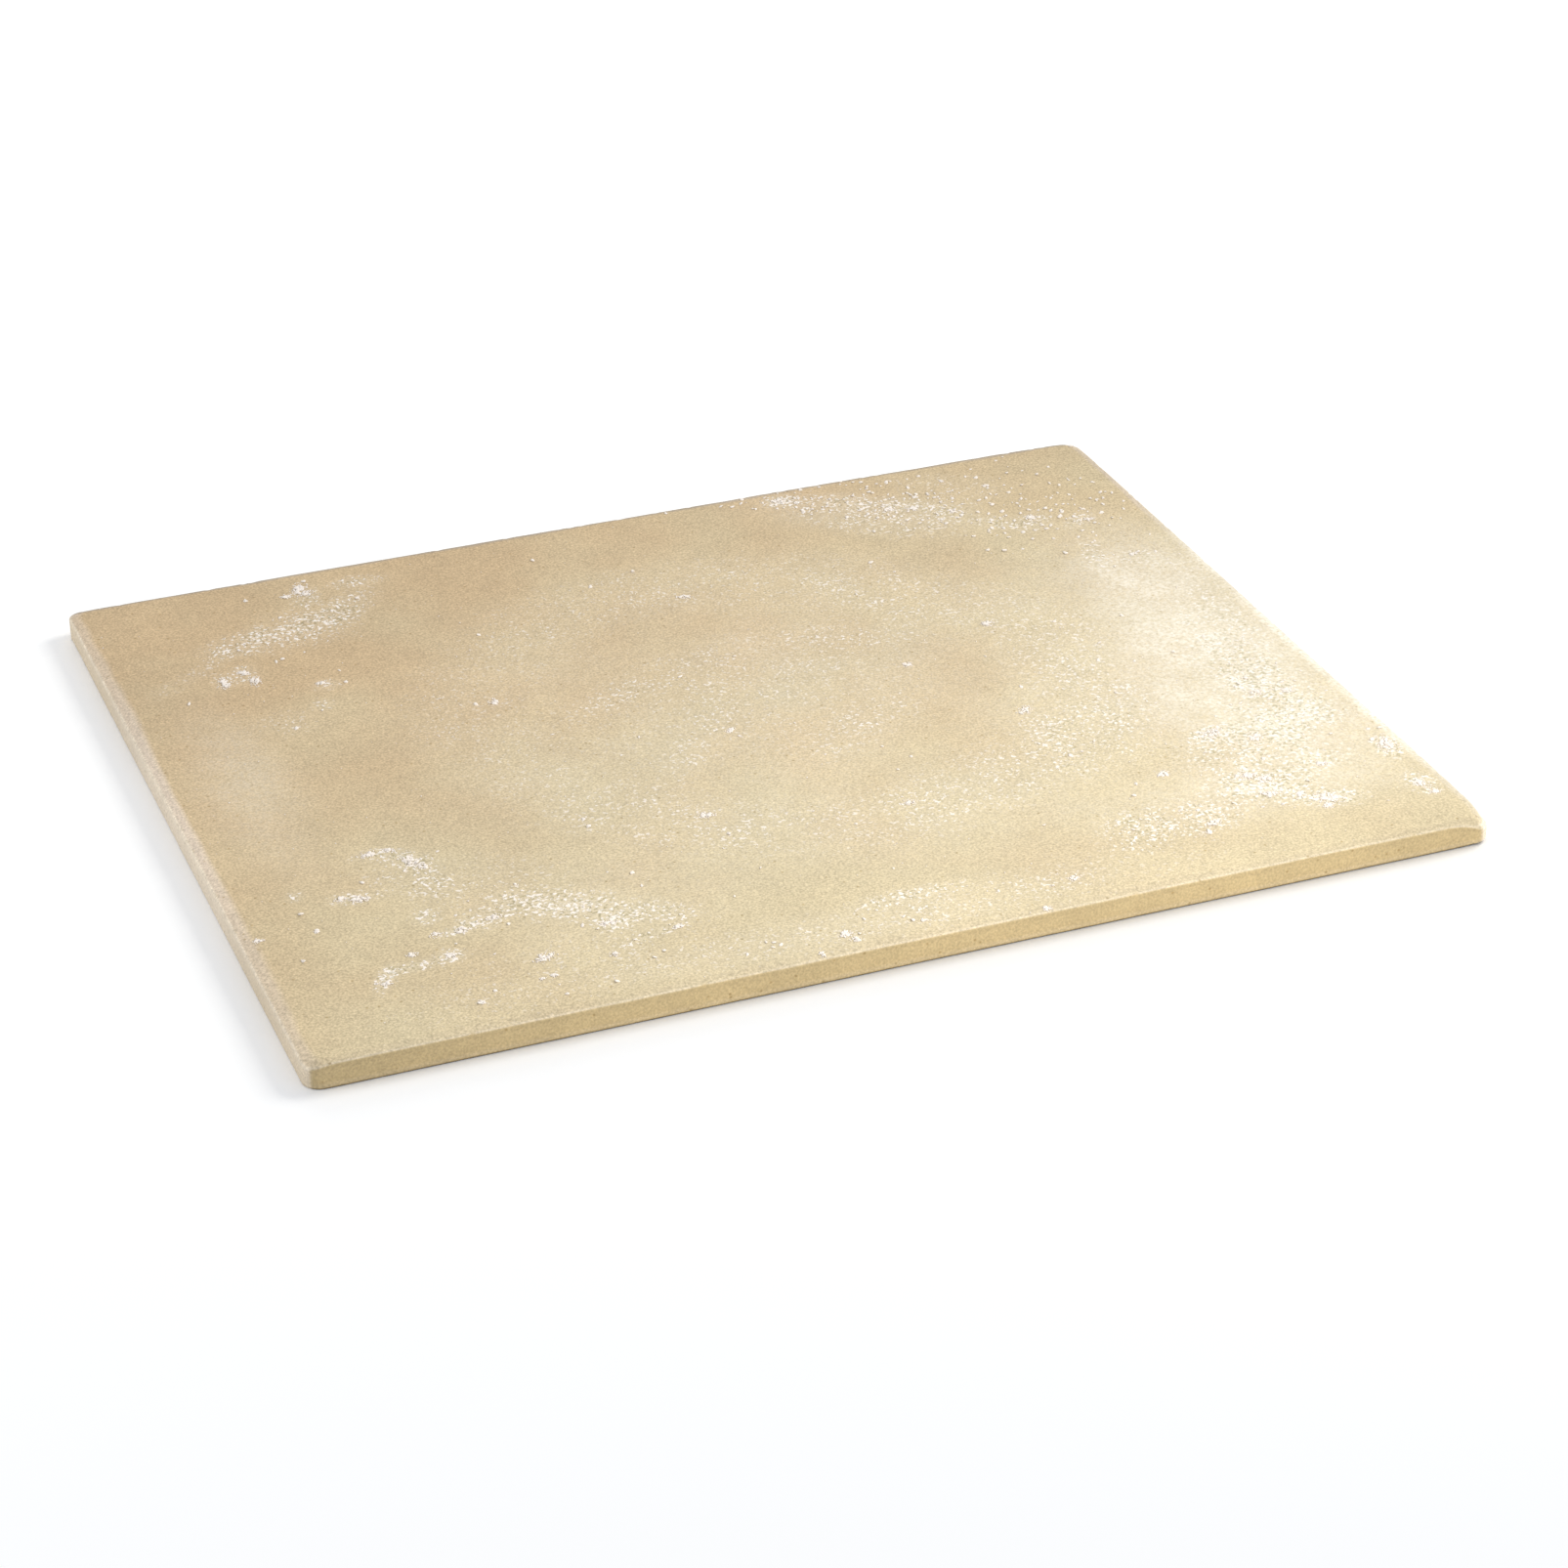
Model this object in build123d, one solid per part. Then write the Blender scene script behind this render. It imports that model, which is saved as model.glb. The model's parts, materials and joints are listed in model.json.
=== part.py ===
from build123d import *

import os

# A rectangular pizza stone: one solid plate of fired cordierite.
#
# The plate is pressed and fired in a single piece, so it has no joints, fasteners or separate feet.
# Its corners are rounded in plan. A shallow bevel falls from the flat baking face to the side wall
# all the way round. The two edges that a hand meets, the arris above the wall and the foot below it,
# are softened. X runs along the long side, Y along the short side towards the back, and Z up. The
# origin is the middle of the flat underside. All lengths are in millimetres.

# Overall size of the plate
stone_length = 430.0
stone_width = 350.0
stone_thickness = 10.0

# Plan corners
corner_radius = 6.5

# Shallow bevel round the baking face: how far it reaches in, and how far it falls
bevel_width = 3.5
bevel_drop = 0.9

# Softened edges: the arris between bevel and wall, and the foot that rests on the oven rack
arris_radius = 0.45
foot_radius = 0.4


def plate_blank():
    """The square-edged plate, standing on the origin plane."""
    outline = RectangleRounded(stone_length, stone_width, corner_radius)
    return extrude(outline, amount=stone_thickness)


def bevel_baking_face(plate):
    """Cuts the bevel, which reaches in by bevel_width and falls by bevel_drop."""
    baking_face = plate.faces().sort_by(Axis.Z)[-1]
    return chamfer(baking_face.edges(), length=bevel_width, length2=bevel_drop, reference=baking_face)


def round_arris(plate):
    """Rounds the edge where the bevel meets the side wall."""
    arris_height = stone_thickness - bevel_drop
    arris = plate.edges().filter_by_position(Axis.Z, arris_height, arris_height)
    return fillet(arris, arris_radius)


def round_foot(plate):
    """Rounds the edge round the flat underside."""
    underside = plate.faces().sort_by(Axis.Z)[0]
    return fillet(underside.edges(), foot_radius)


def stone_slab():
    """The whole stone, as one solid."""
    return round_foot(round_arris(bevel_baking_face(plate_blank())))


os.makedirs("parts", exist_ok=True)
export_step(stone_slab(), "parts/stone_slab.step")
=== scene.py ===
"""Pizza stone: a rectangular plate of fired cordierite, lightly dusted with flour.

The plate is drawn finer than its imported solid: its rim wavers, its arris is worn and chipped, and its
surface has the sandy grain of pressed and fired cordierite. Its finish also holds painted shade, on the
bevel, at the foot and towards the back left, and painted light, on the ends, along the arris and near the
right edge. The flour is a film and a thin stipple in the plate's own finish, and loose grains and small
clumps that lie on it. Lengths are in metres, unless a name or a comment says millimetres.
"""

import json
import math
import random
from collections import namedtuple

import bmesh
import bpy
from mathutils import Euler, Matrix, Vector, noise

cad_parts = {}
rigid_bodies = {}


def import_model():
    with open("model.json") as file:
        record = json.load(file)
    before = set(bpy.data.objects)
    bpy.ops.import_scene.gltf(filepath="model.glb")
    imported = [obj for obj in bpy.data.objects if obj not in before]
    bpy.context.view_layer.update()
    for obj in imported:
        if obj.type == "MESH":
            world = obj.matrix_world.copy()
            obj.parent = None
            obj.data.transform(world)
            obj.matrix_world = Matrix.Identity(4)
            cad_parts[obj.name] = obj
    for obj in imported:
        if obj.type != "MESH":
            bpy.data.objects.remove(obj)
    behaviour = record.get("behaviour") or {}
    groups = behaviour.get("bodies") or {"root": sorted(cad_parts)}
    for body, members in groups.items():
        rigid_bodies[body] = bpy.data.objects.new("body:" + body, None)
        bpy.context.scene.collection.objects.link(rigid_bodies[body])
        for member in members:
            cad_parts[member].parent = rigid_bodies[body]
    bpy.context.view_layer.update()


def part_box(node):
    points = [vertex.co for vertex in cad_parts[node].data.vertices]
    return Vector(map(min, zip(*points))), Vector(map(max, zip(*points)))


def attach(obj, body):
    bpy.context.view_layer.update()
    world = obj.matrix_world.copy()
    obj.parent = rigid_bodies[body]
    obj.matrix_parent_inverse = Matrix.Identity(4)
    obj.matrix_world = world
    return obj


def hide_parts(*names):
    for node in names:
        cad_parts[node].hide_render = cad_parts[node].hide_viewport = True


bl_info = {
    "name": "Pizza Stone",
    "version": (1, 0, 0),
    "blender": (4, 5, 0),
    "location": "3D View > Sidebar > Pizza Stone",
    "description": "Builds a rectangular cordierite pizza stone with a dusting of flour",
    "category": "Add Mesh",
}

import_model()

PLATE_NODE = "stone_slab"
BODY = "root"

MM = 0.001
MERGE_DISTANCE = 0.002 * MM

plate_low, plate_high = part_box(PLATE_NODE)
plate_size = plate_high - plate_low


def linear(hex_colour):
    """The linear red, green and blue of an sRGB hex colour."""
    channels = [int(hex_colour[i : i + 2], 16) / 255 for i in (1, 3, 5)]
    return tuple(c / 12.92 if c <= 0.04045 else ((c + 0.055) / 1.055) ** 2.4 for c in channels)


def clamp(value):
    """The value, kept between 0 and 1."""
    return max(0.0, min(1.0, value))


def bell(value, middle, reach):
    """1 at the middle, falling to 0 beyond that reach."""
    return math.exp(-(((value - middle) / reach) ** 2))


def blend(pair, share):
    """The first value of a pair at share 0, and the second at share 1."""
    return pair[0] + (pair[1] - pair[0]) * share


# Properties


def size_prop(name, description, default, least=0.0):
    """A length that a user can change."""
    return bpy.props.FloatProperty(
        name=name, description=description, default=default, min=least, unit="LENGTH"
    )


def colour_prop(name, description, hex_colour):
    """A colour that a user can change."""
    return bpy.props.FloatVectorProperty(
        name=name, description=description, default=linear(hex_colour), size=3, subtype="COLOR"
    )


def count_prop(name, description, default):
    """A whole number that a user can change."""
    return bpy.props.IntProperty(name=name, description=description, default=default, min=0)


class StoneSizes(bpy.types.PropertyGroup):
    """Sizes of the plate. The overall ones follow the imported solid."""

    length: size_prop("Length", "Long side, along X", plate_size.x, 50 * MM)
    width: size_prop("Width", "Short side, along Y", plate_size.y, 50 * MM)
    thickness: size_prop("Thickness", "Height of the baking face", plate_size.z, 4 * MM)
    corner_radius: size_prop("Corner Radius", "Radius in plan", 6.5 * MM)
    bevel_width: size_prop("Bevel Width", "How far it reaches in from the wall", 3.5 * MM)
    bevel_drop: size_prop("Bevel Drop", "How far it falls to the wall", 0.9 * MM)
    arris_radius: size_prop("Arris Radius", "Rounding between the bevel and the wall", 0.45 * MM)
    foot_radius: size_prop("Foot Radius", "Rounding of the underside's edge", 0.4 * MM)
    corner_droop: size_prop("Corner Droop", "How much further it falls at corners", 0.2 * MM)
    waver: size_prop("Waver", "How far the rim wanders", 0.16 * MM)
    cell: size_prop("Cell", "Size of mesh cells on the baking face", 1.6 * MM, 0.5 * MM)


class StoneColours(bpy.types.PropertyGroup):
    """Colours of the fired clay and of the flour."""

    baking_face: colour_prop("Baking Face", "Pressed upper face, a pale sandy beige", "#BCAE8E")
    # Browned clay that is also painted shade: the face is painted darker with it towards the back and the
    # left
    browned_and_shaded: colour_prop("Baked", "Face browned by the oven", "#B69F7D")
    side: colour_prop("Side", "Long walls and underside, yellower", "#BBA67C")
    # The end walls are painted paler than the long walls, which is painted light from the lamps at the sides
    end: colour_prop("End", "End walls, paler and pinker", "#DBCDB8")
    bevel: colour_prop("Bevel", "Bevel round the face, pinkish grey", "#CABAA7")
    # The rubbed arris also carries a painted highlight, and the same colour is the painted highlight on the
    # noses of the right corners
    highlit_worn_edge: colour_prop("Worn Edge", "Rubbed arris, the palest part", "#E6D8C2")
    # The film is also painted light, which pales the right bevel and the right of the face
    film_and_light: colour_prop("Film", "Thin film of wiped flour", "#E1DBCD")
    flour: colour_prop("Flour", "Wheat flour that lies on the stone", "#E3DBD3")


class FlourDusting(bpy.types.PropertyGroup):
    """How much flour lies on the plate, and how coarse it is."""

    amount: bpy.props.FloatProperty(
        name="Amount", description="Scales all the dusting", default=1.0, min=0.0, max=2.0, subtype="FACTOR"
    )
    grain_tries: count_prop("Grain Tries", "Places tried for a loose grain", 90000)
    smallest_grain: size_prop("Smallest Grain", "Width of the smallest loose grain", 0.3 * MM)
    largest_grain: size_prop("Largest Grain", "Width of the largest loose grain", 0.7 * MM)
    speck_tries: count_prop("Speck Tries", "Places tried for a coarse speck", 13000)
    smallest_speck: size_prop("Smallest Speck", "Width of the smallest coarse speck", 0.9 * MM)
    largest_speck: size_prop("Largest Speck", "Width of the largest coarse speck", 2.1 * MM)
    seed: count_prop("Seed", "Another value scatters them anew", 7)


class StudioSettings(bpy.types.PropertyGroup):
    """The plain pale floor and the soft light round the stone."""

    floor_reach: size_prop("Floor Reach", "Half the side of the square floor", 6.0, 0.5)
    floor_colour: colour_prop("Floor Colour", "Colour of the seamless paper", "#FFFFFF")
    sky_colour: colour_prop("Sky Colour", "Even light from all round", "#F4F8FF")
    sky_strength: bpy.props.FloatProperty(
        name="Sky Strength", description="Brightness of the even light", default=0.685, min=0.0
    )
    lamp_colour: colour_prop("Lamp Colour", "Colour of the soft lamps", "#FFFBF2")


# Shape of the plate

# Rows of cells between the square grid and the bevel, and how far in they start, in cells
FACE_ROWS = 3
FACE_ROWS_START = 1.3

# Where the rings of the skin lie, as shares of the way down the bevel and down the wall
BEVEL_SHARES = (0.26, 0.48, 0.66, 0.80, 1.0)
WALL_SHARES = (0.1, 0.3, 0.5, 0.7, 0.86, 0.92, 1.0)

UNDERSIDE_COARSENESS = 3
ROUNDING_SEGMENTS = 3


def plan_centre(point, sizes):
    """The nearest point of the rectangle through the four corner centres."""
    half_x = sizes.length / 2 - sizes.corner_radius
    half_y = sizes.width / 2 - sizes.corner_radius
    return Vector((max(-half_x, min(half_x, point.x)), max(-half_y, min(half_y, point.y)), 0.0))


def inset_of(point, sizes):
    """How far a point lies in from the side wall, in plan."""
    outward = Vector((point.x, point.y, 0.0)) - plan_centre(point, sizes)
    if outward.length > 0:
        return sizes.corner_radius - outward.length
    return min(sizes.length / 2 - abs(point.x), sizes.width / 2 - abs(point.y))


def outward_from(point, sizes):
    """The direction in plan that points straight out through the nearest wall."""
    return (Vector((point.x, point.y, 0.0)) - plan_centre(point, sizes)).normalized()


def ring_place(point, inset, height, sizes):
    """Where a point of the rim goes, so that it lies inset in from the wall at that height."""
    place = plan_centre(point, sizes) + outward_from(point, sizes) * (sizes.corner_radius - inset)
    place.z = height
    return place


def ends_of(edges):
    """The vertices of some edges."""
    return list({v for e in edges for v in e.verts})


def rim_edges(bm, belongs):
    """The boundary edges of bm whose vertices both belong."""
    return [e for e in bm.edges if e.is_boundary and all(belongs(v.co) for v in e.verts)]


def extrude_loop(bm, edges):
    """Extrudes an open edge loop, and gives the new one with its vertices."""
    geom = bmesh.ops.extrude_edge_only(bm, edges=edges)["geom"]
    verts = {item for item in geom if isinstance(item, bmesh.types.BMVert)}
    edges = {e for v in verts for e in v.link_edges if e.is_boundary and all(w in verts for w in e.verts)}
    return list(edges), list(verts)


def face_sheet(sizes, cell, outline_inset, height):
    """A flat sheet of square cells in the plan of the plate, with round corners, as a new bmesh."""
    sheet = bmesh.new()
    half_x = sizes.length / 2 - sizes.corner_radius
    half_y = sizes.width / 2 - sizes.corner_radius
    columns, rows = round(2 * half_x / cell), round(2 * half_y / cell)
    bmesh.ops.create_grid(sheet, x_segments=columns, y_segments=rows, size=1.0)
    bmesh.ops.scale(sheet, vec=(half_x, half_y, 1.0), verts=sheet.verts)

    # A border grows from each side, as wide as the corners need
    border = sizes.corner_radius - outline_inset
    steps = max(1, round(border / cell))
    for outward in (Vector((1, 0, 0)), Vector((-1, 0, 0)), Vector((0, 1, 0)), Vector((0, -1, 0))):
        reach = abs(outward.x) * half_x + abs(outward.y) * half_y
        along = Vector((abs(outward.y), abs(outward.x), 0))
        span = along.x * half_x + along.y * half_y + MERGE_DISTANCE
        edges = rim_edges(
            sheet, lambda co: abs(co.dot(outward) - reach) < MERGE_DISTANCE and abs(co.dot(along)) < span
        )
        for _ in range(steps):
            edges, verts = extrude_loop(sheet, edges)
            bmesh.ops.translate(sheet, vec=outward * border / steps, verts=verts)

    # Each corner is the end of a border, spun a quarter turn about its corner centre in steps of half a cell
    turns = max(3, round(sizes.corner_radius * math.pi / cell))
    for sign_x in (1, -1):
        for sign_y in (1, -1):
            past_x = half_x - MERGE_DISTANCE
            spoke = rim_edges(
                sheet, lambda co: abs(co.y * sign_y - half_y) < MERGE_DISTANCE and co.x * sign_x > past_x
            )
            bmesh.ops.spin(
                sheet,
                geom=spoke + ends_of(spoke),
                cent=(sign_x * half_x, sign_y * half_y, 0.0),
                axis=(0.0, 0.0, 1.0),
                angle=sign_x * sign_y * math.pi / 2,
                steps=turns,
            )
    bmesh.ops.remove_doubles(sheet, verts=sheet.verts, dist=MERGE_DISTANCE)
    bmesh.ops.translate(sheet, vec=(0.0, 0.0, height), verts=sheet.verts)
    return sheet


def mesh_from(bm, name):
    """A new mesh of that name made from bm, which is freed."""
    mesh = bpy.data.meshes.new(name)
    bm.to_mesh(mesh)
    bm.free()
    return mesh


def open_loop(bm, height):
    """The open edge loop of bm at that height."""
    return rim_edges(bm, lambda co: abs(co.z - height) < MERGE_DISTANCE)


def wall_loop(bm, height, sizes):
    """The edges that run round the wall at that height."""

    def belongs(co):
        return abs(co.z - height) < MERGE_DISTANCE and abs(inset_of(co, sizes)) < MERGE_DISTANCE

    return [e for e in bm.edges if all(belongs(v.co) for v in e.verts)]


def plate_shell(sizes):
    """The closed skin of the plate in its nominal shape: face, bevel, arris, wall, foot and underside."""
    face_inset = sizes.bevel_width + FACE_ROWS_START * sizes.cell
    bm = face_sheet(sizes, sizes.cell, face_inset, sizes.thickness)
    edges = open_loop(bm, sizes.thickness)

    # The inset and height of each ring, from the face down to the underside
    arris_height = sizes.thickness - sizes.bevel_drop
    face_end = (face_inset, sizes.bevel_width)
    rings = [(blend(face_end, row / FACE_ROWS), sizes.thickness) for row in range(1, FACE_ROWS + 1)]
    for share in BEVEL_SHARES:
        rings.append((sizes.bevel_width * (1 - share), sizes.thickness - sizes.bevel_drop * share))
    rings += [(0.0, arris_height * (1 - share)) for share in WALL_SHARES]
    rings.append((2 * sizes.foot_radius, 0.0))
    for inset, height in rings:
        edges, verts = extrude_loop(bm, edges)
        for vert in verts:
            vert.co = ring_place(vert.co, inset, height, sizes)

    # The underside is a coarser sheet, bridged to the foot
    sheet = face_sheet(sizes, UNDERSIDE_COARSENESS * sizes.cell, sizes.corner_radius / 2, 0.0)
    underside = mesh_from(sheet, "underside")
    bm.from_mesh(underside)
    bpy.data.meshes.remove(underside)
    bmesh.ops.bridge_loops(bm, edges=open_loop(bm, 0.0))

    for height, radius in ((arris_height, sizes.arris_radius), (0.0, sizes.foot_radius)):
        edges = wall_loop(bm, height, sizes)
        bmesh.ops.bevel(
            bm,
            geom=edges + ends_of(edges),
            affect="EDGES",
            offset=radius,
            offset_type="OFFSET",
            segments=ROUNDING_SEGMENTS,
            profile=0.5,
            material=-1,
            clamp_overlap=True,
        )
    bmesh.ops.recalc_face_normals(bm, faces=bm.faces)
    return bm


# Wear and waver of the plate

# Brings Blender's noise to about -1 to 1
NOISE_GAIN = 1.6

# Ripples: height, as a share of what they move, wavelength in millimetres and shift
ARRIS_WAVES = ((0.7, 38, 3), (0.35, 10, 5), (0.15, 3.2, 8))
BEVEL_WAVES = ((0.16, 60, 1), (0.1, 14, 9))
WALL_WAVES = ((0.7, 45, 6), (0.3, 7, 7))

# The same for the pressed face, with heights in millimetres
FACE_WAVES = ((0.05, 70, 2), (0.018, 6, 4))

# Each corner by the signs of its X and Y, in millimetres: how deep it is rubbed and how far along, how far
# its foot is worn up, and how far it stands out
Corner = namedtuple("Corner", "rub reach foot_lift fullness")
CORNERS = {
    (1, -1): Corner(rub=3.4, reach=8.5, foot_lift=1.5, fullness=1.3),
    (-1, -1): Corner(rub=2.0, reach=5.0, foot_lift=0.3, fullness=0.0),
    (-1, 1): Corner(rub=0.3, reach=6.0, foot_lift=0.1, fullness=0.8),
    (1, 1): Corner(rub=0.6, reach=7.0, foot_lift=0.1, fullness=0.0),
}
DROOP_REACH = 24 * MM
FOOT_WEAR_SHARE = 0.7
FOOT_WEAR_DEPTH = 4 * MM

# The bevel's inner edge is eased over this share of its width to either side
BEVEL_EASE = 0.2

# How far in the rim's wear is felt, in bevel widths, and how far in the wall sways
WEATHERED_WIDTHS = 2.2
WALL_SWAY_DEPTH = 2 * MM
WALL_SWAY = 0.6
WALL_LOSS = 0.6

# Chips in the arris: the length of rim for each, their radii in millimetres, their depths as a share of
# that, and the share of each side that they keep to
CHIP_SPACING = 17 * MM
CHIP_RADII = (0.9, 2.4)
CHIP_DEPTHS = (0.08, 0.2)
CHIP_SPREAD = 0.97
CHIP_BAND = 3 * MM
CHIP_SEED = 31


def ripples(point, waves):
    """Smooth noise over the plan of the plate, the same on every run."""
    total = 0.0
    for height, wavelength, shift in waves:
        place = Vector((point.x, point.y, 0.0)) / (wavelength * MM) + Vector((shift, -shift, 0.5 * shift))
        total += height * NOISE_GAIN * noise.noise(place)
    return total


def corner_nearness(point, sizes, reach):
    """1 at a plan corner, falling to 0 beyond that reach."""
    return bell(math.hypot(sizes.length / 2 - abs(point.x), sizes.width / 2 - abs(point.y)), 0.0, reach)


def corner_at(point):
    """The corner that a point is nearest to."""
    return CORNERS[1 if point.x > 0 else -1, 1 if point.y > 0 else -1]


def corner_rub(point, sizes):
    """How far the stone is rubbed away by a corner, beside a point of the rim."""
    corner = corner_at(point)
    return corner.rub * MM * corner_nearness(point, sizes, corner.reach * MM)


def rim_drop(point, sizes):
    """How far the arris lies below the baking face beside a point of the rim."""
    droop = sizes.corner_droop * corner_nearness(point, sizes, DROOP_REACH)
    return sizes.bevel_drop + droop + corner_rub(point, sizes) + sizes.waver * ripples(point, ARRIS_WAVES)


def bevel_reach(point, sizes):
    """Width of the bevel beside a point of the rim."""
    return sizes.bevel_width * (1.0 + ripples(point, BEVEL_WAVES)) + corner_rub(point, sizes)


def soft_ramp(share):
    """1 at share 0, falling straight towards 0 at share 1, and eased out there."""
    if share >= 1.0 + BEVEL_EASE:
        return 0.0
    if share > 1.0 - BEVEL_EASE:
        return (1.0 + BEVEL_EASE - share) ** 2 / (4 * BEVEL_EASE)
    return 1.0 - share


def face_sag(point):
    """How far the pressed face sags below its nominal height, below 0."""
    return min(0.0, MM * ripples(point, FACE_WAVES))


def rim_fall(point, inset, sizes):
    """How far the upper surface lies below the baking face at that inset."""
    return rim_drop(point, sizes) * soft_ramp(inset / bevel_reach(point, sizes))


def surface_height(x, y, sizes):
    """Height of the plate's upper surface at a place in plan."""
    point = Vector((x, y, 0.0))
    inset = max(0.0, inset_of(point, sizes))
    return sizes.thickness - rim_fall(point, inset, sizes) + face_sag(point)


def weather(bm, sizes):
    """Moves the nominal skin to the uneven shape of a fired and used plate."""
    arris_height = sizes.thickness - sizes.bevel_drop
    for vert in bm.verts:
        inset = max(0.0, inset_of(vert.co, sizes))
        point = vert.co.copy()
        if inset < WEATHERED_WIDTHS * sizes.bevel_width:
            corner = corner_at(point)
            outward = outward_from(point, sizes)
            nominal = sizes.bevel_drop * clamp(1.0 - inset / sizes.bevel_width)
            vert.co.z += (nominal - rim_fall(point, inset, sizes)) * clamp(point.z / arris_height)
            lift = corner.foot_lift * MM * corner_nearness(point, sizes, FOOT_WEAR_SHARE * corner.reach * MM)
            vert.co.z += lift * clamp(1.0 - inset / FOOT_WEAR_DEPTH) * clamp(1.0 - point.z / arris_height)
            sway = WALL_SWAY * (ripples(point, WALL_WAVES) - WALL_LOSS)
            vert.co += outward * sizes.waver * clamp(1.0 - inset / WALL_SWAY_DEPTH) * sway
            fullness = corner.fullness * MM * abs(2 * outward.x * outward.y)
            vert.co += outward * fullness * clamp(1.0 - inset / sizes.corner_radius)
        if point.z > arris_height:
            vert.co.z += face_sag(point) * clamp(inset / sizes.bevel_width)


def chip_arris(bm, sizes):
    """Presses small chips into the arris."""
    rng = random.Random(CHIP_SEED)
    rim = [v for v in bm.verts if inset_of(v.co, sizes) < CHIP_BAND and v.co.z > sizes.thickness / 2]
    height = sizes.thickness - sizes.bevel_drop
    for _ in range(round(2 * (sizes.length + sizes.width) / CHIP_SPACING)):
        along_x = rng.random() < sizes.length / (sizes.length + sizes.width)
        sign = rng.choice((-1, 1))
        share = rng.uniform(-CHIP_SPREAD, CHIP_SPREAD)
        along, across = (share, sign) if along_x else (sign, share)
        centre = Vector((along * sizes.length / 2, across * sizes.width / 2, height))
        radius = rng.uniform(*CHIP_RADII) * MM
        depth = radius * rng.uniform(*CHIP_DEPTHS)
        for vert in rim:
            gap = (vert.co - centre).length
            if gap < radius:
                inward = -outward_from(vert.co, sizes) - Vector((0, 0, 1))
                vert.co += inward.normalized() * depth * (1 - (gap / radius) ** 2) ** 2


# Flour

# Where it lies, in millimetres: x, y, half length, half width, turn in degrees, and amount
RIM_PATCHES = (
    (-160, 121, 14, 8, 10, 0.36), (-142, 124, 15, 13, 30, 0.31), (-127, 128, 14, 14, 55, 0.27),
    (-112, 139, 14, 8, 40, 0.3), (-126, 152, 9, 5, 80, 0.45), (-103, 158, 10, 5, 0, 0.3),
    (-183, 103, 22, 5, 35, 0.14), (-164, 97, 8, 5, 80, 0.3), (-173, 94, 7, 4, 80, 0.22),
    (-138, 77, 5, 4, 0, 0.4), (-143, 62, 4, 4, 0, 0.25), (-160, 53, 14, 10, 0, 0.12),
    (-158, -52, 7, 3, 10, 0.34), (-146, -62, 10, 6, -45, 0.46), (-152, -74, 16, 9, -40, 0.16),
    (-171, -79, 8, 4, -10, 0.5), (-190, -70, 3, 3, 0, 0.35), (-152, -100, 4, 5, 0, 0.4),
    (-144, -112, 6, 3, 20, 0.5), (-132, -108, 11, 6, 15, 0.4), (-112, -107, 16, 10, -20, 0.32),
    (-93, -118, 19, 10, -32, 0.36), (-76, -127, 14, 5, -20, 0.3), (-96, -127, 6, 4, 0, 0.35),
    (-176, -133, 8, 3, 60, 0.55), (-161, -129, 12, 3, 5, 0.45), (-152, -127, 4, 4, 0, 0.45),
    (-84, -139, 12, 2.5, 12, 0.4), (-120, -150, 60, 22, 8, 0.1), (-126, -88, 30, 20, -20, 0.14),
    (-20, -160, 70, 12, 0, 0.13), (5, -148, 18, 4, 0, 0.4), (60, -158, 60, 14, 0, 0.11),
    (96, -136, 14, 12, 30, 0.32), (120, -135, 16, 12, 10, 0.4), (146, -122, 14, 10, -10, 0.5),
    (158, -130, 12, 10, -20, 0.44), (162, -118, 16, 8, -20, 0.26), (172, -141, 10, 6, -20, 0.52),
    (150, -98, 18, 12, 10, 0.3), (152, -83, 9, 6, 20, 0.6), (170, -92, 20, 14, 30, 0.34),
    (183, -72, 24, 20, 60, 0.32), (195, -80, 14, 10, 80, 0.32), (186, -50, 14, 14, 80, 0.4),
    (188, -25, 22, 18, 80, 0.3), (194, 4, 20, 18, 80, 0.2), (181, -112, 12, 8, 10, 0.34),
    (207, -115, 5, 8, 0, 0.66), (205, -144, 5, 8, 0, 0.62), (203, 40, 10, 30, 0, 0.12),
    (190, 62, 8, 8, 0, 0.25), (176, 72, 5, 16, -10, 0.3), (184, 102, 9, 4, 30, 0.3),
    (166, 108, 8, 7, 40, 0.34), (152, 112, 9, 5, -40, 0.32), (140, 130, 10, 9, -50, 0.34),
    (122, 142, 12, 6, -35, 0.42), (106, 150, 10, 6, -30, 0.34), (78, 164, 7, 5, 0, 0.42),
    (92, 160, 22, 6, -20, 0.22), (108, 133, 34, 14, -34, 0.24), (150, 150, 26, 12, -30, 0.12),
)

# The same for the middle of the face
MIDDLE_PATCHES = (
    (-70, 70, 46, 26, 35, 0.1), (-92, 6, 24, 44, 10, 0.1), (-60, -60, 44, 22, -35, 0.14),
    (-8, -92, 52, 20, -8, 0.12), (60, -84, 46, 22, 18, 0.17), (112, -62, 34, 26, 42, 0.22),
    (128, -4, 22, 46, -8, 0.2), (96, 60, 44, 24, -42, 0.14), (36, 100, 50, 24, -12, 0.13),
    (-30, 104, 40, 20, 8, 0.1), (10, 12, 66, 40, 20, 0.14), (34, -30, 34, 12, 30, 0.16),
    (-28, 34, 40, 9, 24, 0.16), (58, 40, 28, 9, -20, 0.14), (-30, -24, 30, 8, 50, 0.14),
)

# The same for haze, the film that is left where flour was wiped about. Near the right edge the haze is
# painted light: it pales the right bevel and the right of the face
HAZE_AND_LIGHT_PATCHES = (
    (50, -25, 190, 150, 0, 0.26), (182, -45, 44, 84, 10, 0.66), (168, -66, 26, 32, 30, 0.26),
    (190, 38, 34, 56, 0, 0.54), (214, -42, 124, 3.2, 90, 0.95), (140, -122, 56, 22, -8, 0.34),
    (-108, -114, 52, 26, 0, 0.12), (-186, 10, 18, 64, 0, 0.34), (-40, -160, 84, 12, 0, 0.14),
    (100, 146, 50, 18, -30, 0.22),
)

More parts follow.
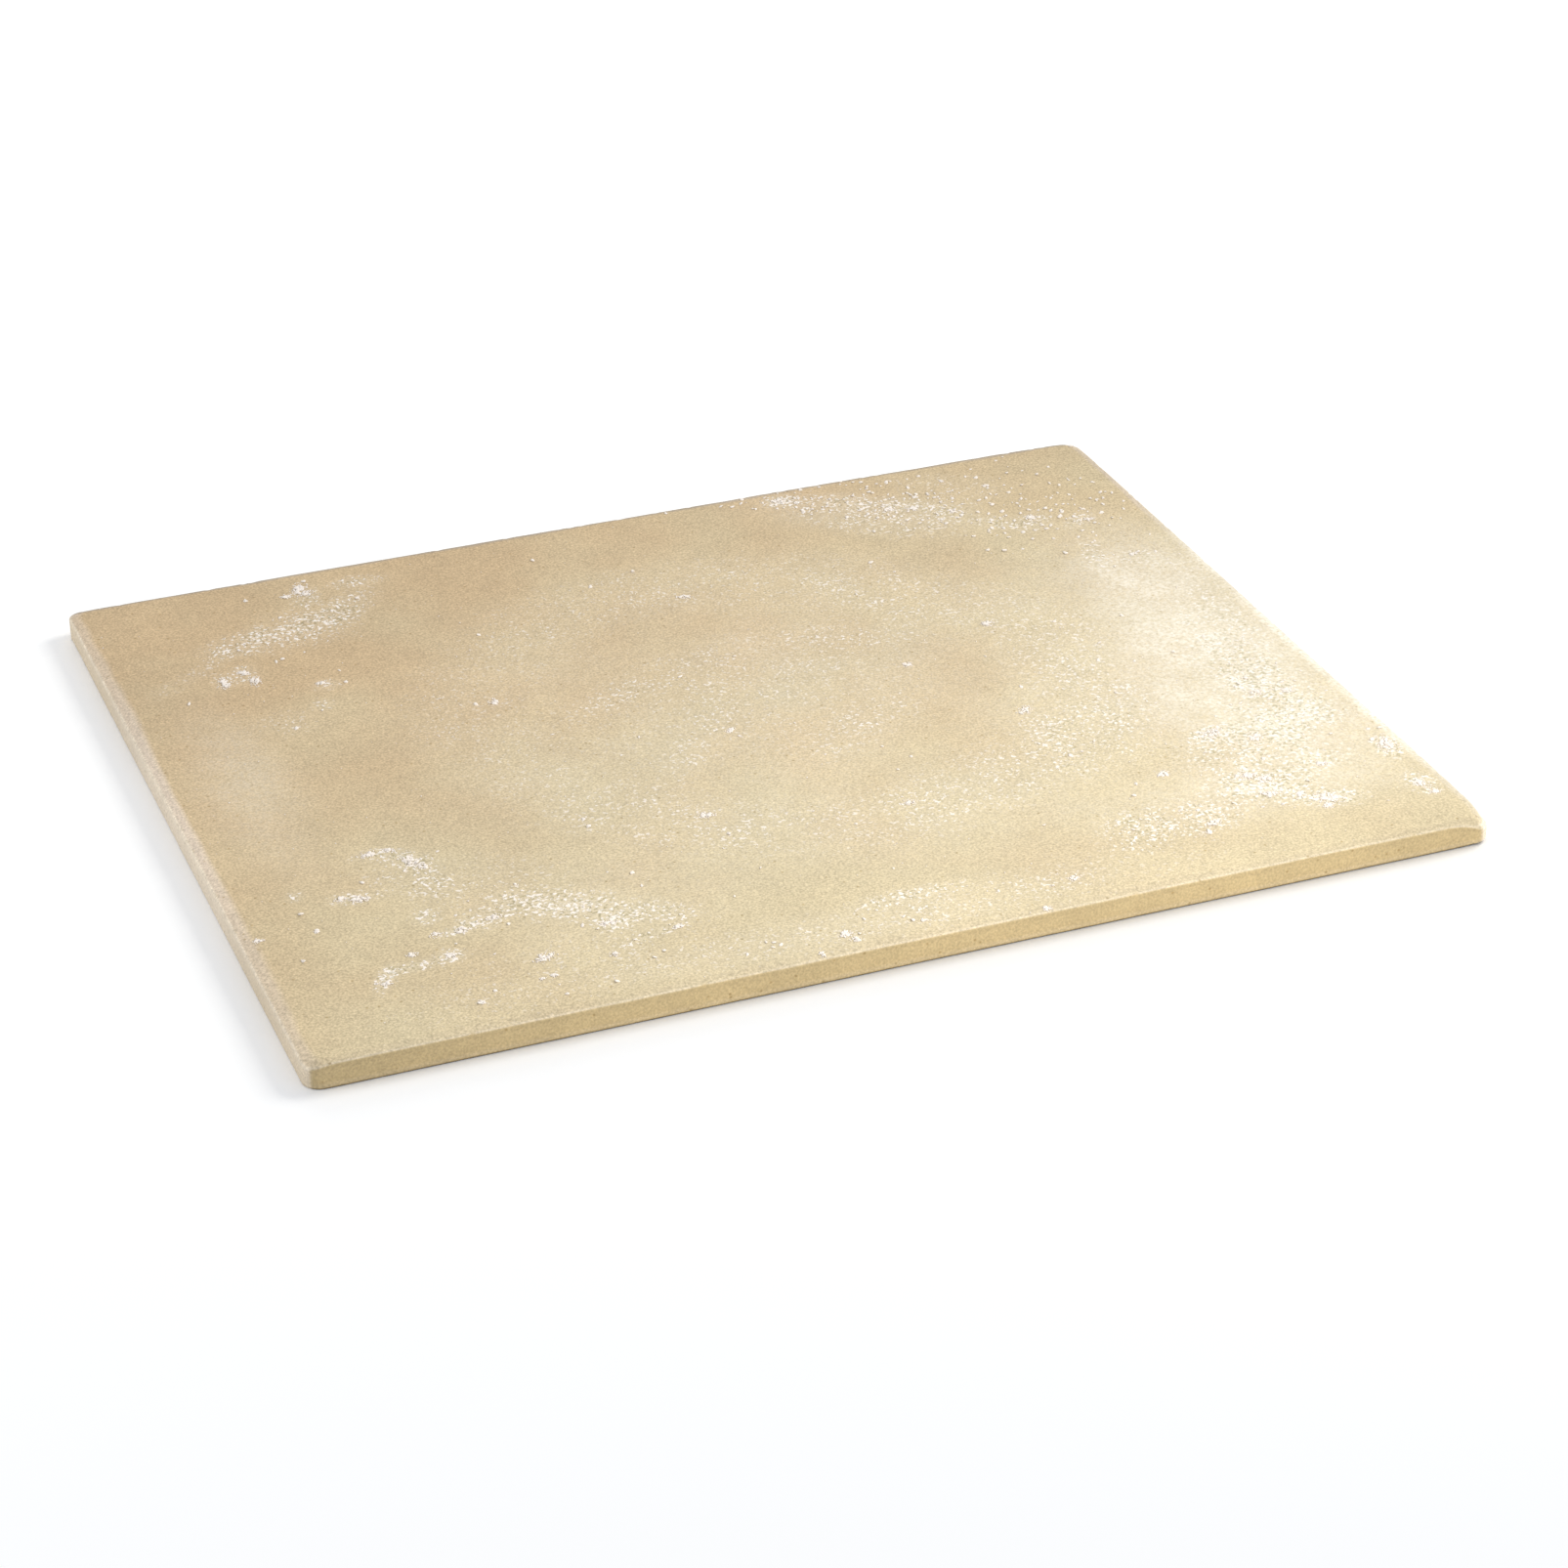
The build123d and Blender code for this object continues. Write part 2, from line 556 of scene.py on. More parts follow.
# The same for coarse specks
SPECK_PATCHES = (
    (92, 158, 36, 10, -20, 0.75), (130, 138, 38, 14, -34, 0.8), (164, 110, 22, 20, 30, 0.65),
    (188, 96, 18, 34, 0, 0.3), (176, -60, 40, 60, 0, 0.05), (140, -128, 50, 16, -6, 0.08),
    (-112, -118, 60, 26, -10, 0.04), (-150, -70, 26, 22, -30, 0.04), (-30, -160, 110, 10, 0, 0.06),
    (146, 140, 60, 30, -25, 0.24), (-140, 118, 44, 30, 25, 0.05),
)

# Clumps, in millimetres: x, y, half length, half width, turn in degrees
CLUMPS = (
    (-126, 159, 5, 3, 70), (-124, 155, 2.5, 2, 0), (-132, 155, 1.4, 2.2, 80),
    (-172.8, 92.5, 2.2, 4, -12), (-164.3, 97.8, 2.2, 1.7, -20), (-161.8, 89.8, 1.8, 3.8, -8),
    (-139, 79, 2.4, 1.4, 20), (-159, -52, 3, 1.5, 10), (-151, -52, 2, 1.4, -20),
    (-147, -62, 3.4, 2, -50), (-143, -67, 2.4, 1.6, -50), (-176, -78, 2, 1.3, 20),
    (-170, -80, 2.8, 1.9, -10), (-209, -94, 1.2, 1.8, 80), (-189, -95.5, 0.9, 0.9, 0),
    (-152.5, -112.5, 2, 1.6, 20), (-143.5, -113, 2.2, 1.6, 20), (-131, -109, 2.6, 1.3, 10),
    (-163.5, -121.5, 1.6, 1.6, 0), (-177, -136, 1.3, 2.2, 70), (-152, -127, 1.3, 1.8, 70),
    (-123, -140, 3.9, 2.2, 15), (-123.5, -152, 1.1, 1, 0), (-128, -152.5, 1.4, 0.6, 10),
    (-151, -159, 1.5, 1.2, 30), (-75, -138, 1.6, 1.1, 0), (-96, -127, 2.4, 1.4, 0),
    (-101, -147, 1.6, 1, 0), (-25, -164, 2.6, 2, 30), (-23, -168, 1.6, 1.3, 0),
    (62, -158.5, 2.2, 1.7, 20), (45, -173, 1.4, 1, 0), (3, -165, 1, 0.9, 0),
    (-37, -172.5, 0.9, 1.2, 0), (122, -103.5, 2.6, 1.8, 30), (152, -82, 4, 2.8, 20),
    (165, -91, 3, 2.2, 40), (150, -116, 3.4, 2.6, 0), (155, -120, 2.4, 2.4, 0),
    (151, -131, 3.6, 2, 15), (160, -135, 2.8, 1.8, 40), (169, -141, 4.4, 3.4, -30),
    (166, -146, 2, 1.6, 0), (123, -142, 3, 1.5, 25), (118.5, -147.5, 1.4, 1, 60),
    (179, -118, 1.8, 1.5, 0), (207, -113, 3, 6, -10), (204.5, -144, 2.2, 3.4, 20),
    (205.5, -151, 1.8, 1.6, 0), (193, -62, 2.4, 2, 0), (181, -60, 3, 1.8, 30),
    (77.5, 165, 1.8, 3, 80), (84, 160, 1.2, 1.2, 0), (116, 140, 2.6, 1.8, 0),
    (125.5, 137.5, 1.8, 2.4, 50), (131, 147, 1.4, 1.2, 0), (162, 146, 1.2, 1.2, 0),
    (147, 157, 0.9, 0.9, 0), (167, 111, 1.6, 2.2, 60), (188, 101, 1.5, 2, 70),
    (191, 65, 2.2, 1, 20), (140, 129, 1.8, 1.6, 0), (-40, -70, 3, 1.8, -30),
    (30, -88, 2.6, 1.6, 10), (96, -40, 3.6, 2, 40), (70, 10, 2, 1.5, 0),
    (-84, 40, 2.4, 1.6, 60), (12, 96, 2.8, 1.6, -10), (112, 30, 2.2, 2, 0),
    (-10, -14, 1.8, 1.2, 20),
)

# How sharply a patch ends, and the most that one patch leaves
PATCH_FALL = 0.9
PATCH_LIMIT = 0.95

# How the dusting and the film, with its painted light, break up: height, wavelength in millimetres and shift
FLOUR_WAVES = ((0.375, 15, 12), (0.375, 5.5, 14))
HAZE_AND_LIGHT_WAVES = ((0.21, 40, 18), (0.14, 11, 19))

# Chances that a place keeps a loose grain: anywhere, in the film and in the dusting
GRAIN_CHANCES = (0.004, 0.03, 0.36)
GRAIN_GATHERING = 1.4

# Chances that a place keeps a coarse speck: anywhere, in a patch of specks and in the dusting
SPECK_CHANCES = (0.003, 0.8, 0.03)


def laid(point, patches):
    """How much the patches leave at a place in plan, one over another."""
    bare = 1.0
    for centre_x, centre_y, half_length, half_width, turn, amount in patches:
        cosine, sine = math.cos(math.radians(turn)), math.sin(math.radians(turn))
        across, up = point.x / MM - centre_x, point.y / MM - centre_y
        u = (across * cosine + up * sine) / half_length
        v = (up * cosine - across * sine) / half_width
        bare *= 1.0 - min(PATCH_LIMIT, amount * math.exp(-PATCH_FALL * (u * u + v * v) ** 1.5))
    return 1.0 - bare


def flour_at(point):
    """The loose dusting at a place in plan, from 0, bare, to 1, thick."""
    return clamp(laid(point, RIM_PATCHES + MIDDLE_PATCHES) * (1.0 + ripples(point, FLOUR_WAVES)))


def haze_and_light_at(point):
    """The film of flour, with the painted light near the right edge, at a place in plan, from 0 to 1."""
    return clamp(laid(point, HAZE_AND_LIGHT_PATCHES) * (1.0 + ripples(point, HAZE_AND_LIGHT_WAVES)))


def grain_chance(point):
    """How likely a loose grain stays at a place in plan."""
    anywhere, in_film, in_dusting = GRAIN_CHANCES
    return anywhere + in_film * haze_and_light_at(point) + in_dusting * flour_at(point) ** GRAIN_GATHERING


def speck_chance(point):
    """How likely a coarse speck stays at a place in plan."""
    anywhere, in_patch, in_dusting = SPECK_CHANCES
    return anywhere + in_patch * laid(point, SPECK_PATCHES) + in_dusting * flour_at(point)


# Marks that the finish reads from the plate's vertices

MARKS = ("flour", "haze_and_light", "bevel", "side", "end", "wear_and_highlight", "painted_shade_and_darkening", "browned_and_shaded")

# The skin is dusted down to this depth below the upper surface
DUSTED_DEPTH = 0.6 * MM

# How far in the rim counts as its edge, and how the wall's colour starts by the arris
EDGE_BAND = 1 * MM
WALL_START = 0.1 * MM
WALL_FADE = 0.35 * MM

# The rim counts as an end by the square of its outward X, past one start on the left and one on the right,
# and on the right only near the corners. The middle of an end gives way to its corners.
END_STARTS = (0.38, 0.12)
END_GAIN = 5.0
RIGHT_END_REACH = 14 * MM
END_MIDDLE = 60 * MM
END_FADE = 50 * MM

# The bevel: how much further in it reaches on the left, how it ends, in bevel widths, and how much of its
# colour shows all round, on the left, on the right from some way back, and at the back
LEFT_WIDENING = 0.35
BEVEL_END = 1.15
BEVEL_END_GAIN = 2.0
TINT, LEFT_TINT, RIGHT_TINT, BACK_TINT = 0.1, 0.35, 0.6, 0.5
RIGHT_TINT_START = 70 * MM
RIGHT_TINT_FADE = 40 * MM

# The pale line along the arris, worn and with a painted highlight, in pairs for the long sides and the ends,
# and what the ends add to it in their middle and by their corners
LINE_INSETS = (0.5 * MM, 0.15 * MM)
LINE_WIDTHS = (0.4 * MM, 0.5 * MM)
LINE_FALLS = (2.0, 0.6)
LINE_WEAR_AND_HIGHLIGHT = 0.4
END_LINE_WEAR_AND_HIGHLIGHT = (1.5, 0.6)
BACK_LINE_SHARE = 0.15

# Painted shade on the bevel: at the back, at the right, and along the front from its middle to its right end
BACK_SHADE, RIGHT_SHADE, FRONT_SHADES = 0.51, 0.17, (0.10, 0.18)

# Browning of the clay, which towards the back and the left is also painted shade: everywhere, and more
# towards the back and towards the left, in waves
BROWNING, BACK_BROWNING_AND_SHADE, LEFT_BROWNING_AND_SHADE = 0.35, 1.08, 0.5
BROWNING_WAVES = ((0.1, 120, 16),)

# How much the ends lose of their painted paleness by the left corners, and of the painted shade
END_PALING = 0.25
END_SHADE_LOSS = 0.7

# Bands of wear and painted highlight, pale lines, painted shade and other darkening, browning and tint: how
# much, and in millimetres their middle and reach
BANDS = {
    # A painted highlight on the noses of the right corners, and pale lines on the bevel and above the foot
    "corner highlight": (0.9, 0, 12),
    "pale bevel line": (0.1, 0, 0.7),
    "pale foot line": (0.15, 1.3, 0.4),
    # A darkening near the right corners, painted shade on the rounded foot, a darker band below the arris,
    # and painted shade on the walls towards the left end
    "right corner darkening": (0.14, 0, 45),
    "foot shade": (1.5, 0, 0.42),
    "below arris darkening": (0.11, -0.7, 0.5),
    "left end shade": (0.2, 0, 60),
    "left browning": (0.12, 0, 60),
    "left tint": (0.65, 10, 100),
}


def band(name, distance):
    """How much a band leaves at that distance from where it is measured."""
    amount, middle, reach = BANDS[name]
    return amount * bell(distance, middle * MM, reach * MM)


def surface_marks(point, sizes, amount):
    """How much of each mark the finish shows at a point of the skin."""
    inset = max(0.0, inset_of(point, sizes))
    at_edge = inset < EDGE_BAND
    arris_height = sizes.thickness - rim_drop(point, sizes)
    from_left = point.x + sizes.length / 2
    from_right_corner = math.hypot(point.x - sizes.length / 2, abs(point.y) - sizes.width / 2)
    off_middle = clamp((abs(point.y) - END_MIDDLE) / END_FADE)
    wall = 0.0
    if at_edge or point.z <= sizes.thickness / 2:
        wall = clamp((arris_height + WALL_START - point.z) / WALL_FADE)

    # Which way the rim faces, and how much it counts as an end and as the bevel
    outward = outward_from(point, sizes)
    left, right = max(0.0, -outward.x), max(0.0, outward.x)
    front, back = max(0.0, -outward.y), max(0.0, outward.y)
    end = clamp(END_GAIN * (outward.x * outward.x - END_STARTS[outward.x > 0]))
    # On the right only the noses of the corners count as an end, so that they are painted paler, as painted
    # light
    if outward.x > 0:
        end *= bell(from_right_corner, 0.0, RIGHT_END_REACH)
    reach = bevel_reach(point, sizes) * (1.0 + LEFT_WIDENING * left)
    slope = clamp(BEVEL_END_GAIN * (BEVEL_END - inset / reach)) * (1.0 - wall)
    tint = TINT + BACK_TINT * back + left * (LEFT_TINT + band("left tint", point.y))
    tint += right * RIGHT_TINT * clamp((point.y - RIGHT_TINT_START) / RIGHT_TINT_FADE)

    # Wear and a painted highlight along the arris, a painted highlight on the noses of the right corners,
    # and a pale line on the bevel's inner edge at the left
    below = max(0.0, arris_height - point.z)
    lip = math.hypot(inset - blend(LINE_INSETS, end), blend(LINE_FALLS, end) * below)
    wear_and_highlight = (LINE_WEAR_AND_HIGHLIGHT + end * blend(END_LINE_WEAR_AND_HIGHLIGHT, off_middle)) * blend((1.0, BACK_LINE_SHARE), back)
    wear_and_highlight *= bell(lip, 0.0, blend(LINE_WIDTHS, end))
    wear_and_highlight += wall * end * right * band("corner highlight", from_right_corner)
    wear_and_highlight += left * (1.0 - off_middle) * band("pale bevel line", inset - sizes.bevel_width)

    # Painted shade on the bevel, a darkening near the right corners, and what is only at the edge
    shade = BACK_SHADE * back + RIGHT_SHADE * right
    shade += front * blend(FRONT_SHADES, clamp(2 * point.x / sizes.length))
    painted_shade_and_darkening = slope * shade + band("right corner darkening", from_right_corner)
    # At the edge: a pale line and painted shade at the foot, a darker band below the arris, and painted
    # shade towards the left end
    if at_edge:
        wear_and_highlight += (1.0 - end) * band("pale foot line", point.z)
        painted_shade_and_darkening += band("foot shade", point.z) + band("below arris darkening", point.z - arris_height)
        painted_shade_and_darkening += band("left end shade", from_left)
    # Browning, which towards the back and the left is also painted shade
    browning_and_shade = BROWNING + (BACK_BROWNING_AND_SHADE * point.y - LEFT_BROWNING_AND_SHADE * point.x) / sizes.length
    browning_and_shade += ripples(point, BROWNING_WAVES) + band("left browning", from_left)
    dusted = amount if surface_height(point.x, point.y, sizes) - point.z < DUSTED_DEPTH else 0.0
    return {
        "flour": dusted * flour_at(point),
        # The film of flour, and painted light near the right edge
        "haze_and_light": dusted * haze_and_light_at(point),
        "bevel": clamp(slope * tint),
        "side": wall,
        # The ends painted paler, which is painted light
        "end": wall * end * (1.0 - END_PALING * off_middle * left),
        # Wear with a painted highlight along the arris and on the right corners
        "wear_and_highlight": clamp(wear_and_highlight),
        # Painted shade and darkening, less of it on the ends
        "painted_shade_and_darkening": clamp(painted_shade_and_darkening) * (1.0 - END_SHADE_LOSS * end),
        # Browning, and painted shade towards the back and the left
        "browned_and_shaded": clamp(browning_and_shade),
    }


def mark_surface(mesh, sizes, amount):
    """Stores the marks of each vertex for the finish."""
    marks = [surface_marks(vert.co, sizes, amount) for vert in mesh.vertices]
    for name in MARKS:
        mesh.attributes.new(name, "FLOAT", "POINT").data.foreach_set("value", [mark[name] for mark in marks])


# Finishes

# Sockets of a Mix node that mixes colours
SHARE, BELOW, ABOVE, MIXED = 0, 6, 7, 2

# Noise in the clay and its flour: size in millimetres, detail and roughness. Real sand and heaps of flour
# are finer: they are drawn about 1 mm across, to show.
PATTERNS = {
    "blush": (55.0, 2.0, 0.5),
    "flecks": (2.6, 3.0, 0.5),
    "broad clouds": (85.0, 2.0, 0.5),
    "clouds": (16.0, 3.0, 0.5),
    "mottle": (4.5, 3.0, 0.5),
    "sand": (0.85, 1.5, 0.6),
    "heaps": (1.6, 1.0, 0.7),
    "hollows": (1.2, 0.0, 0.5),
}

# How marks and patterns are spread: which one, its range, and what that range becomes
RANGES = {
    "uneven browning": ("blush", 0.3, 0.7, -0.28, 0.28),
    "patchy wear and highlight": ("flecks", 0.34, 0.52, 0.6, 1.0),
    # Painted shade and darkening take the clay down to 0.3 of its colour
    "painted shade tone": ("painted_shade_and_darkening", 0.0, 1.0, 1.0, 0.3),
    "broad tone": ("broad clouds", 0.3, 0.7, 0.96, 1.04),
    "cloud tone": ("clouds", 0.3, 0.7, 0.965, 1.035),
    "mottle tone": ("mottle", 0.3, 0.7, 0.975, 1.025),
    "sand tone": ("sand", 0.25, 0.75, 0.72, 1.28),
    "floury": ("flour", 0.02, 0.25, 0.0, 0.95),
    "thick": ("flour", 0.1, 0.4, 0.0, 1.0),
    "streaks": ("heaps", 0.35, 0.65, 0.5, 1.1),
}

# The tones that darken or lighten the clay
TONES = ("painted shade tone", "broad tone", "cloud tone", "mottle tone")

# Single grains of pale sand and dark pores: size of the cells they lie in, in millimetres, their radius as
# a share of that, and the share of cells that have one
DOTS = {"pale sand": (3.0, 0.12, 0.45), "pores": (4.4, 0.11, 0.45)}

# Tones that pale sand, the painted shade in the hollows of the flour, and the pores give to what is below
# them
PALE_SAND_TONE = (1.26, 1.26, 1.26, 1.0)
HOLLOW_TONE = (0.72, 0.72, 0.64, 1.0)
PORE_TONE = (0.72, 0.67, 0.56, 1.0)

# Size of the grain that is drawn on loose flour, in millimetres
POWDER_SIZE = 0.5


def add_node(tree, kind, inputs=None, **settings):
    """Adds a shader node. Its inputs are set to a value, or linked to a socket or a node's first output."""
    node = tree.nodes.new("ShaderNode" + kind)
    for name, value in settings.items():
        setattr(node, name, value)
    for name, value in (inputs or {}).items():
        if isinstance(value, bpy.types.Node):
            value = value.outputs[0]
        if isinstance(value, bpy.types.NodeSocket):
            tree.links.new(value, node.inputs[name])
        else:
            node.inputs[name].default_value = value
    node.location.x = 180 * len(tree.nodes)
    return node


def per_metre(size_mm):
    """Pattern scale that gives features of that size in millimetres."""
    return 1.0 / (size_mm * MM)


def opaque(colour):
    """A colour with full alpha."""
    return (*colour, 1.0)


def new_material(name):
    """An empty node material, and its tree."""
    material = bpy.data.materials.new(name)
    material.use_nodes = True
    material.node_tree.nodes.clear()
    return material, material.node_tree


def cordierite_material(colours):
    """Unglazed cordierite, pressed and fired: matt, with fine pale and dark sand in a beige body."""
    material, tree = new_material("fired_cordierite")
    place = add_node(tree, "TexCoord").outputs["Object"]
    part = {name: add_node(tree, "Attribute", attribute_name=name).outputs["Fac"] for name in MARKS}
    for name, (size_mm, detail, roughness) in PATTERNS.items():
        inputs = {"Vector": place, "Scale": per_metre(size_mm), "Detail": detail, "Roughness": roughness}
        part[name] = add_node(tree, "TexNoise", inputs)
    for name, (source, start, stop, low, high) in RANGES.items():
        inputs = {"Value": part[source], "From Min": start, "From Max": stop, "To Min": low, "To Max": high}
        part[name] = add_node(tree, "MapRange", inputs)
    for name, (cell_mm, radius, share) in DOTS.items():
        cells = add_node(tree, "TexVoronoi", {"Vector": place, "Scale": per_metre(cell_mm)})
        chosen = add_node(tree, "Math", {0: cells.outputs["Color"], 1: share}, operation="LESS_THAN")
        edges = {"From Min": radius * 1.4, "From Max": radius * 0.6, "To Max": chosen}
        part[name] = add_node(tree, "MapRange", {"Value": cells.outputs["Distance"], **edges})

    # Where the clay is browned, with painted shade, and worn, with a painted highlight, and how strong its
    # sand is, which is softer on the walls
    inputs = {0: part["browned_and_shaded"], 1: part["uneven browning"]}
    browned_and_shaded_share = add_node(tree, "Math", inputs, operation="ADD", use_clamp=True)
    worn_and_highlit = add_node(tree, "Math", {0: part["wear_and_highlight"], 1: part["patchy wear and highlight"]}, operation="MULTIPLY")
    sandy = add_node(tree, "Math", {0: part["side"], 1: -0.3, 2: 1.0}, operation="MULTIPLY_ADD")

    # The film of flour, which near the right edge is painted light, the stipple of flour that catches on the
    # grain, and the painted shade in its hollows
    haze_and_light = add_node(tree, "Math", {0: part["haze_and_light"], 1: 1.6}, operation="POWER")
    wiped_and_lit = add_node(tree, "Math", {0: haze_and_light, 1: part["streaks"]}, operation="MULTIPLY")
    film_and_light = add_node(tree, "Math", {0: part["flour"], 1: 0.36, 2: wiped_and_lit}, operation="MULTIPLY_ADD")
    inputs = {0: part["flour"], 1: 0.21, 2: part["heaps"]}
    lifted = add_node(tree, "Math", inputs, operation="MULTIPLY_ADD")
    edges = {"From Min": 0.64, "From Max": 0.69, "To Max": part["floury"]}
    stipple = add_node(tree, "MapRange", {"Value": lifted, **edges})
    # Painted shade in the hollows of thick flour
    edges = {"From Min": 0.57, "From Max": 0.64, "To Max": part["thick"]}
    shaded = add_node(tree, "MapRange", {"Value": part["hollows"], **edges})

    # What lies on the plain body, from below: colours of the clay, with painted shade and painted light in
    # them, painted shade and clouds, sand, flour, open pores
    layers = (
        (browned_and_shaded_share, opaque(colours.browned_and_shaded), "MIX"),
        (part["bevel"], opaque(colours.bevel), "MIX"),
        (part["side"], opaque(colours.side), "MIX"),
        (part["end"], opaque(colours.end), "MIX"),
        (worn_and_highlit, opaque(colours.highlit_worn_edge), "MIX"),
        *((1.0, part[tone], "MULTIPLY") for tone in TONES),
        (sandy, part["sand tone"], "MULTIPLY"),
        (part["pale sand"], PALE_SAND_TONE, "MULTIPLY"),
        (film_and_light, opaque(colours.film_and_light), "MIX"),
        (stipple, opaque(colours.flour), "MIX"),
        (shaded, HOLLOW_TONE, "MULTIPLY"),
        (part["pores"], PORE_TONE, "MULTIPLY"),
    )
    body = opaque(colours.baking_face)
    for share, colour, blend_type in layers:
        inputs = {SHARE: share, BELOW: body, ABOVE: colour}
        body = add_node(tree, "Mix", inputs, data_type="RGBA", blend_type=blend_type).outputs[MIXED]

    # Relief: the sand stands 0.1 mm proud, the flour a little more
    relief = add_node(tree, "Math", {0: stipple, 1: 2.2, 2: part["sand"]}, operation="MULTIPLY_ADD")
    bump = add_node(tree, "Bump", {"Strength": 0.4, "Distance": 0.12 * MM, "Height": relief})
    inputs = {"Base Color": body, "Roughness": 0.92, "IOR": 1.5, "Normal": bump}
    shader = add_node(tree, "BsdfPrincipled", inputs)
    add_node(tree, "OutputMaterial", {"Surface": shader})
    return material


def flour_material(colours):
    """Wheat flour: a soft white powder, quite matt. Its grain is drawn coarser than real, to show."""
    material, tree = new_material("wheat_flour")
    place = add_node(tree, "TexCoord").outputs["Object"]
    powder = add_node(tree, "TexNoise", {"Vector": place, "Scale": per_metre(POWDER_SIZE), "Detail": 2.0})
    edges = {"From Min": 0.3, "From Max": 0.7, "To Min": 0.93, "To Max": 1.03}
    tone = add_node(tree, "MapRange", {"Value": powder, **edges})
    inputs = {SHARE: 1.0, BELOW: opaque(colours.flour), ABOVE: tone}
    colour = add_node(tree, "Mix", inputs, data_type="RGBA", blend_type="MULTIPLY").outputs[MIXED]
    bump = add_node(tree, "Bump", {"Strength": 0.3, "Distance": 0.05 * MM, "Height": powder})
    inputs = {"Base Color": colour, "Roughness": 1.0, "IOR": 1.3, "Normal": bump}
    shader = add_node(tree, "BsdfPrincipled", inputs)
    add_node(tree, "OutputMaterial", {"Surface": shader})
    return material


def paper_material(colour):
    """Seamless background paper, matt and white."""
    material, tree = new_material("seamless_paper")
    inputs = {"Base Color": opaque(colour), "Roughness": 1.0, "Specular IOR Level": 0.0}
    shader = add_node(tree, "BsdfPrincipled", inputs)
    add_node(tree, "OutputMaterial", {"Surface": shader})
    return material


def find_material(name, make, values):
    """The material of that name, made if it isn't there yet."""
    return bpy.data.materials.get(name) or make(values)


# Pieces

# How high the middle of a grain lies, as a share of its height, how far it may tilt, in radians, how far in
# from the wall it keeps, and how rare wide ones are
Lie = namedtuple("Lie", "lift tilt margin rarity")
GRAIN = Lie(lift=0.25, tilt=0.5, margin=0.4 * MM, rarity=3)
SPECK = Lie(lift=0.2, tilt=0.4, margin=1.2 * MM, rarity=1)
HEAPED = Lie(lift=0.2, tilt=0.3, margin=0.3 * MM, rarity=1)

# Shares of the width: length, depth and height of a grain, depth and height of a speck, and depth of a
# piece of a clump
GRAIN_SHARES = ((0.8, 1.3), (0.7, 1.1), (0.45, 0.8))
SPECK_SHARES = ((0.5, 1.0), (0.3, 0.5))
HEAP_DEPTHS = (0.6, 1.0)

# What a clump is heaped from: how far from its middle the pieces lie, as a share of its size, their widths
# in millimetres, and their heights as a share of that
Heap = namedtuple("Heap", "reach widths heights")
LUMPS = Heap(reach=0.75, widths=(0.9, 1.9), heights=(0.3, 0.5))
CRUMBS = Heap(reach=1.35, widths=(0.35, 0.8), heights=(0.5, 0.8))

# Lumps in a clump: for each square millimetre, and in any clump; and all its pieces for each lump
LUMPS_BY_SIZE = 1.8
LEAST_LUMPS = 3
PIECES_PER_LUMP = 4

# How fine the noise is that makes grains lumpy, and how far into it each may lie
LUMPINESS = 2.6
NOISE_REACH = 50


def finish_piece(mesh, material):
    """Links a mesh to the scene as a smooth piece of the stone that rides on its body."""
    mesh.materials.append(material)
    mesh.polygons.foreach_set("use_smooth", [True] * len(mesh.polygons))
    piece = bpy.data.objects.new(mesh.name, mesh)
    bpy.context.scene.collection.objects.link(piece)
    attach(piece, BODY)
    return piece


class PIZZASTONE_OT_plate(bpy.types.Operator):
    """Build the cordierite plate with its worn rim and its finish"""

    bl_idname = "pizza_stone.plate"
    bl_label = "Stone Plate"
    bl_options = {"REGISTER", "UNDO"}

    def execute(self, context):
        scene = context.scene
        sizes = scene.pizza_stone_sizes
        shell = plate_shell(sizes)
        weather(shell, sizes)
        chip_arris(shell, sizes)
        mesh = mesh_from(shell, "stone_plate")
        mark_surface(mesh, sizes, scene.pizza_stone_dusting.amount)
        material = find_material("fired_cordierite", cordierite_material, scene.pizza_stone_colours)
        plate = finish_piece(mesh, material)
        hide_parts(PLATE_NODE)
        return {"FINISHED"}


def grain_templates(rng, count, segments, roughness):
    """A few lumpy grains of unit width with few faces, each a mesh."""
    templates = []
    for index in range(count):
        bm = bmesh.new()
        bmesh.ops.create_uvsphere(bm, u_segments=segments, v_segments=segments // 2 + 1, radius=0.5)
        shift = Vector([rng.uniform(0, NOISE_REACH) for _ in range(3)])
        for vert in bm.verts:
            vert.co *= 1.0 + roughness * noise.noise(vert.co * LUMPINESS + shift)
        templates.append(mesh_from(bm, f"grain_{index}"))
    return templates


def scattered(rng, sizes, amount, tries, lie, widths, chance):
    """Random places on the baking face that keep something, by their chance, each with its width."""
    for _ in range(tries):
        x = rng.uniform(lie.margin - sizes.length / 2, sizes.length / 2 - lie.margin)
        y = rng.uniform(lie.margin - sizes.width / 2, sizes.width / 2 - lie.margin)
        point = Vector((x, y, 0.0))
        keep = rng.random()
        width = blend(widths, rng.random() ** lie.rarity)
        if inset_of(point, sizes) >= lie.margin and keep <= amount * chance(point):
            yield x, y, width


def lay_grain(bm, rng, templates, x, y, scale, lie, sizes):
    """Adds a copy of a random grain to bm, lying on the stone at a place in plan and turned at random."""
    grain = rng.choice(templates).copy()
    turn = [rng.uniform(-lie.tilt, lie.tilt), rng.uniform(-lie.tilt, lie.tilt), rng.uniform(0, math.tau)]
    place = Vector((x, y, surface_height(x, y, sizes) + lie.lift * scale.z))
    grain.transform(Matrix.LocRotScale(place, Euler(turn), scale))
    bm.from_mesh(grain)
    bpy.data.meshes.remove(grain)


